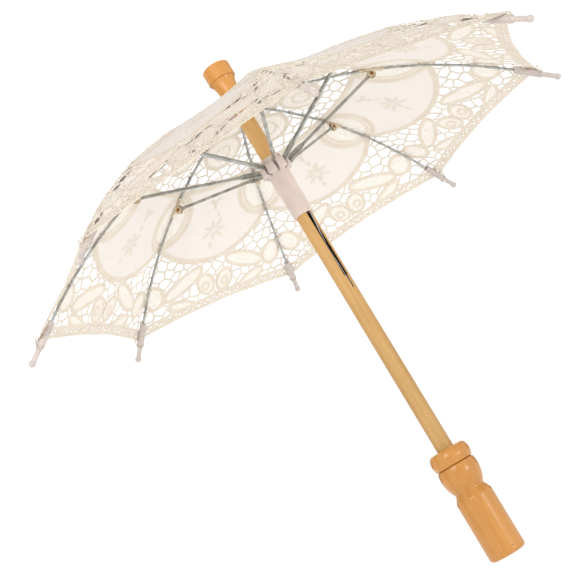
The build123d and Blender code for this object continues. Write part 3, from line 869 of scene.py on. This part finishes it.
def gore_points(points, rib):
    """Middle surface and unit normal in space, in mm, of flat points (across, out)."""
    across, out = points[:, 0], points[:, 1]
    side = np.where(across >= 0, 1.0, -1.0)
    width = CANOPY.half_width(out)
    u = -side * (width - np.abs(across))
    rib_angle = rib * RIB_STEP
    middle = rib_angle + side * HALF_PANEL
    ridge = np.clip(np.abs(across) / 5.0, 0, 1)
    ridge = ridge * ridge * (3 - 2 * ridge)
    lean = rib_angle + side * HALF_PANEL * ridge
    depth = CANOPY.depth_at(out)
    height = np.interp(out, CANOPY.v, CANOPY.height)
    place = np.stack(
        [
            depth * np.cos(middle) - u * np.sin(middle),
            depth * np.sin(middle) + u * np.cos(middle),
            height,
        ],
        1,
    )
    nd = np.interp(out, CANOPY.v, CANOPY.normal_d)
    nz = np.interp(out, CANOPY.v, CANOPY.normal_z)
    normal = np.stack([nd * np.cos(lean), nd * np.sin(lean), nz], 1)
    panel = np.where(side > 0, rib, (rib - 1) % RIB_COUNT)
    place -= normal * panel_sag(u, out, panel)[:, None]
    return place, normal


def lace_mesh(name, cells, rib):
    """Front, back and rims of the lace as one closed mesh with its flat coordinates."""
    used = np.unique(np.concatenate([p.ravel() for p, _ in cells.polygons]))
    renumber = np.full(len(cells.points), -1)
    renumber[used] = np.arange(len(used))
    flat = cells.points[used]
    place, normal = gore_points(flat, rib)
    count = len(flat)
    front = place + normal * flat[:, 2:3]
    back = place - normal * flat[:, 2:3]
    vertices = np.concatenate([front, back]) * MM

    corners, starts, zones = [], [], []
    total = 0

    def add(block, zone):
        nonlocal total
        rows, size = block.shape
        corners.append(block.ravel())
        starts.append(total + np.arange(rows) * size)
        zones.append(zone)
        total += rows * size

    for block, zone in cells.polygons:
        block = renumber[block]
        add(block[:, ::-1], zone)
        add(block + count, zone)
    rim = renumber[cells.edges]
    quads = np.stack([rim[:, 0], rim[:, 1], rim[:, 1] + count, rim[:, 0] + count], 1)
    add(quads, np.full(len(quads), Pattern.TAPE))

    corners = np.concatenate(corners).astype(np.int32)
    starts = np.concatenate(starts).astype(np.int32)
    zones = np.concatenate(zones).astype(np.int32)
    mesh = bpy.data.meshes.new(name)
    mesh.vertices.add(2 * count)
    mesh.vertices.foreach_set("co", vertices.ravel().astype(np.float32))
    mesh.loops.add(len(corners))
    mesh.loops.foreach_set("vertex_index", corners)
    mesh.polygons.add(len(starts))
    mesh.polygons.foreach_set("loop_start", starts)
    mesh.update(calc_edges=True)
    mesh.polygons.foreach_set("material_index", zones)
    mesh.polygons.foreach_set("use_smooth", np.ones(len(starts), bool))
    flat_map = mesh.uv_layers.new(name="flat")
    both = np.concatenate([flat[:, :2], flat[:, :2]])[corners]
    flat_map.data.foreach_set("uv", both.ravel().astype(np.float32))

    ends = np.zeros(len(mesh.edges) * 2, np.int32)
    mesh.edges.foreach_get("vertices", ends)
    ends = np.sort(ends.reshape(-1, 2), axis=1).astype(np.int64)
    keys = ends[:, 0] * 4 * count + ends[:, 1]
    wanted = np.sort(np.concatenate([rim, rim + count]), axis=1).astype(np.int64)
    sharp = np.isin(keys, wanted[:, 0] * 4 * count + wanted[:, 1])
    mark = mesh.attributes.new("sharp_edge", "BOOLEAN", "EDGE")
    mark.data.foreach_set("value", sharp)
    mesh.update()
    mesh.validate()
    return mesh


def make_gore(rib, patterns, cloths):
    """One gore of the cover: half a panel on each side of its rib."""
    across, out = gore_grid()
    width = CANOPY.half_width(out)
    cloth = np.empty(across.shape)
    half = np.empty(across.shape)
    zone = np.empty(across.shape, int)
    for right in (True, False):
        here = across >= 0 if right else across < 0
        rows = np.where(here.any(1))[0]
        part = slice(rows[0], rows[-1] + 1)
        panel = rib if right else (rib - 1) % RIB_COUNT
        inwards = width[part] - np.abs(across[part])
        u = -inwards if right else inwards
        cloth[part], half[part], zone[part] = patterns[panel].fields(u, out[part])
    cloth = np.minimum(cloth, width - np.abs(across) + 0.02)
    cells = Cells(across, out, cloth, half, zone)
    mesh = lace_mesh(f"lace_gore_{rib + 1}", cells, rib)
    for cloth_material in cloths:
        mesh.materials.append(cloth_material)
    gore = new_piece(mesh.name, mesh)
    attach(gore, f"rib_{rib + 1}")
    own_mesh(gore)
    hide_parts(f"canopy_gore_{rib + 1}")
    return gore


# ---------------------------------------------------------------- threads, rosette and ring


def tube(name, paths, radius, sides, cyclic=False):
    """Round threads along lists of points, as one mesh, in metres."""
    vertices, faces = [], []
    for path in paths:
        path = np.array(path, float)
        tangent = np.gradient(path, axis=0)
        if cyclic:
            tangent = np.roll(path, -1, 0) - np.roll(path, 1, 0)
        tangent /= np.linalg.norm(tangent, axis=1)[:, None]
        guide = np.cross(tangent[0], (0.31, 0.52, 0.79))
        base = len(vertices)
        for point, direction in zip(path, tangent):
            guide = guide - direction * guide.dot(direction)
            guide /= np.linalg.norm(guide)
            other = np.cross(direction, guide)
            for k in range(sides):
                angle = k * math.tau / sides
                outwards = math.cos(angle) * guide + math.sin(angle) * other
                vertices.append(point + radius * outwards)
        rings = len(path) if cyclic else len(path) - 1
        for i in range(rings):
            a, b = base + i * sides, base + ((i + 1) % len(path)) * sides
            for k in range(sides):
                k2 = (k + 1) % sides
                faces.append((a + k, a + k2, b + k2, b + k))
        if not cyclic:
            last = base + (len(path) - 1) * sides
            faces.append(tuple(base + k for k in range(sides))[::-1])
            faces.append(tuple(last + k for k in range(sides)))
    mesh = bpy.data.meshes.new(name)
    mesh.from_pydata([tuple(v) for v in vertices], [], faces)
    mesh.polygons.foreach_set("use_smooth", np.ones(len(faces), bool))
    return new_piece(name, mesh)


def add_flat_map(piece):
    """Simple flat coordinates for a small cloth piece, in mm, from its own X, Y and Z."""
    mesh = piece.data
    layer = mesh.uv_layers.new(name="flat")
    for loop in mesh.loops:
        co = mesh.vertices[loop.vertex_index].co
        layer.data[loop.index].uv = ((co.x + 0.6 * co.z) / MM, (co.y + 0.6 * co.z) / MM)


def turned(radius, aside, height, rib):
    """Point in m of a place beside a rib's plane: radius, aside and height in mm."""
    angle = rib * RIB_STEP
    x = radius * math.cos(angle) - aside * math.sin(angle)
    y = radius * math.sin(angle) + aside * math.cos(angle)
    return (x * MM, y * MM, height * MM)


def on_tip(along, rise, aside, rib):
    """Point near a rib's tip: along it from the arc's end, above it and to one side, in m."""
    slope = RIB_END_SLOPE
    end_r = ARC_CENTRE_R + RIB_ARC_R * math.sin(slope)
    end_z = ARC_CENTRE_Z + RIB_ARC_R * math.cos(slope)
    radius = end_r + along * math.cos(slope) + rise * math.sin(slope)
    height = end_z - along * math.sin(slope) + rise * math.cos(slope)
    return turned(radius, aside, height, rib)


def finish_thread(thread, rib, cloth):
    """Gives a thread its cloth, and lets it ride its rib."""
    add_flat_map(thread)
    thread.data.materials.append(cloth)
    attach(thread, f"rib_{rib + 1}")


def make_tip_thread(rib, cloth):
    """Sewing thread that ties the hem's corner to the tip: turns round it and loops up."""
    paths = []
    for along, reach in TIP_THREAD_TURNS:
        loop = []
        for k in range(25):
            angle = k * math.tau / 24
            lean = 0.5 * math.sin(angle)
            loop.append(
                on_tip(along + lean, reach * math.cos(angle), reach * math.sin(angle), rib)
            )
        paths.append(loop)
    for side in (-1, 1):
        for spread in (1.6, 4.2):
            stitch = []
            for k in range(9):
                share = k / 8
                stitch.append(
                    on_tip(
                        17.2 - (3.8 + spread * 0.4) * share,
                        2.5 + 1.9 * math.sin(share * 2.1),
                        side * (1.3 + spread * share * 0.55),
                        rib,
                    )
                )
            paths.append(stitch)
    finish_thread(tube(f"tip_thread_{rib + 1}", paths, TIP_THREAD_R * MM, 8), rib, cloth)


def make_rib_ties(rib, cloth):
    """Small thread ties that hold the lace to the rib's wire, two turns at each place."""
    paths = []
    for along in TIE_PLACES:
        slope = RIB_START_SLOPE + along / RIB_ARC_R
        gap = lace_gap(ARC_CENTRE_R + RIB_ARC_R * math.sin(slope))
        for shift in (-0.35, 0.35):
            loop = []
            for k in range(17):
                turn = k * math.tau / 16
                rise = (gap - 0.7) / 2 + (gap + 1.6) / 2 * math.cos(turn)
                aside = TIE_HALF_WIDTH * math.sin(turn)
                reach = RIB_ARC_R + rise
                lean = slope + (shift + 0.25 * math.sin(turn)) / RIB_ARC_R
                radius = ARC_CENTRE_R + reach * math.sin(lean)
                height = ARC_CENTRE_Z + reach * math.cos(lean)
                loop.append(turned(radius, aside, height, rib))
            paths.append(loop)
    finish_thread(tube(f"rib_ties_{rib + 1}", paths, TIE_THREAD_R * MM, 6), rib, cloth)


def make_rosette(cloth):
    """Gathered round of cotton over the notch, pleated, with a worked edge."""
    _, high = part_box("canopy_crown")
    inner = ROSETTE_INNER_R
    outer = high.x / MM + ROSETTE_OVERHANG
    top = high.z / MM
    around, rings = ROSETTE_AROUND, ROSETTE_RINGS
    vertices, faces = [], []
    for layer in (0.35, -0.35):
        for i in range(rings):
            share = i / (rings - 1)
            radius = inner + (outer - inner) * share
            for k in range(around):
                angle = k * math.tau / around
                pleat = 0.30 * share * math.sin(32 * angle + 1.5 * math.sin(3 * angle))
                scallop = 0.7 * share**4 * abs(math.sin(12 * angle))
                drop = ROSETTE_DROP * share**2.2
                height = top - 0.45 + layer - drop + pleat
                reach = radius + scallop
                vertices.append(
                    (reach * math.cos(angle) * MM, reach * math.sin(angle) * MM, height * MM)
                )
    size = rings * around
    for i in range(rings - 1):
        for k in range(around):
            a, b = i * around + k, i * around + (k + 1) % around
            c, d = b + around, a + around
            faces.append((a, d, c, b))
            faces.append((a + size, b + size, c + size, d + size))
    for k in range(around):
        k2 = (k + 1) % around
        faces.append((k, k2, k2 + size, k + size))
        e, e2 = (rings - 1) * around + k, (rings - 1) * around + k2
        faces.append((e2, e, e + size, e2 + size))
    mesh = bpy.data.meshes.new("apex_rosette")
    mesh.from_pydata(vertices, [], faces)
    mesh.polygons.foreach_set("use_smooth", np.ones(len(faces), bool))
    rosette = new_piece("apex_rosette", mesh)
    add_flat_map(rosette)
    mesh.materials.append(cloth)
    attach(rosette, "shaft")
    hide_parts("canopy_crown")


def make_runner_ring(metal):
    """The whole ring of wire in the runner's crown, through every stretcher's eye."""
    low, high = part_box("runner_wire")
    wire = (high.z - low.z) / 2
    radius = high.x - wire
    height = (low.z + high.z) / 2
    circle = []
    for k in range(96):
        angle = k * math.tau / 96
        circle.append((radius * math.cos(angle), radius * math.sin(angle), height))
    ring = tube("runner_ring", [circle], wire, 12, cyclic=True)
    ring.data.materials.append(metal)
    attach(ring, "runner")
    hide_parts("runner_wire")


# ---------------------------------------------------------------- making it all


def paint(names, finish):
    """Gives CAD nodes a material."""
    for name in names:
        node = frame["nodes"][name]
        if not node.material_slots:
            node.data.materials.append(finish)
        for slot in node.material_slots:
            slot.material = finish


def each(name):
    return [f"{name}_{k + 1}" for k in range(RIB_COUNT)]


make_camera()
make_studio()

pale_wood = wood(
    "pale_wood",
    (0.78, 0.49, 0.20),
    (0.68, 0.405, 0.145),
    (0.54, 0.295, 0.095),
    roughness=0.5,
    coat=0.1,
    skin_r=0.0059,
    full_z=0.34,
)
varnished = wood(
    "varnished_wood",
    (0.585, 0.274, 0.061),
    (0.52, 0.23, 0.044),
    (0.43, 0.174, 0.029),
    roughness=0.37,
    coat=0.4,
    pit=(0.0027, -0.0130, 0.0049),
)
# a lighter copy of the handle's varnished wood for the finial, as painted light
lit_varnished_cap = wood(
    "lit_varnished_cap",
    (0.67, 0.315, 0.072),
    (0.60, 0.265, 0.052),
    (0.50, 0.20, 0.035),
    roughness=0.37,
    coat=0.4,
)
bright_steel = steel("bright_steel", (0.47, 0.475, 0.445), 0.24)
dull_steel = steel("spring_steel", (0.40, 0.39, 0.37), 0.38)
pale_brass = brass("pale_brass", (0.76, 0.69, 0.53), (0.42, 0.30, 0.17))
red_copper = brass("red_copper", (0.45, 0.17, 0.06), (0.16, 0.06, 0.03))
runner_white = milky_plastic("runner_plastic", (0.715, 0.60, 0.54), (0.62, 0.52, 0.47))
tip_white = milky_plastic("tip_plastic", (0.56, 0.49, 0.45), (0.475, 0.415, 0.38))
tape = tape_cloth("lace_tape", (0.95, 0.89, 0.795), (0.885, 0.80, 0.68))
net = net_cloth("lace_net", (0.965, 0.93, 0.87), (0.92, 0.865, 0.785))
cotton = plain_cotton("plain_cotton", (0.965, 0.93, 0.895), (0.94, 0.90, 0.86))
stitched = tape_cloth("stitched_thread", (0.945, 0.895, 0.815), (0.905, 0.84, 0.735))

paint(["shaft"], pale_wood)
paint(["handle"], varnished)
paint(["finial"], lit_varnished_cap)
paint(["top_notch", "runner"], runner_white)
paint(["notch_wire", "notch_nail", "runner_wire"], bright_steel)
paint(each("rib") + each("stretcher"), bright_steel)
paint(["catch_spring"], dull_steel)
paint(each("bracket"), pale_brass)
paint(each("rivet"), red_copper)
paint(each("tip"), tip_white)
paint(["canopy_crown"] + each("canopy_gore"), cotton)

PATTERNS = [Pattern(number) for number in range(RIB_COUNT)]
for rib in range(RIB_COUNT):
    gore = make_gore(rib, PATTERNS, [tape, net, cotton, stitched])
    make_tip_thread(rib, stitched)
    make_rib_ties(rib, stitched)
make_rosette(cotton)
make_runner_ring(bright_steel)
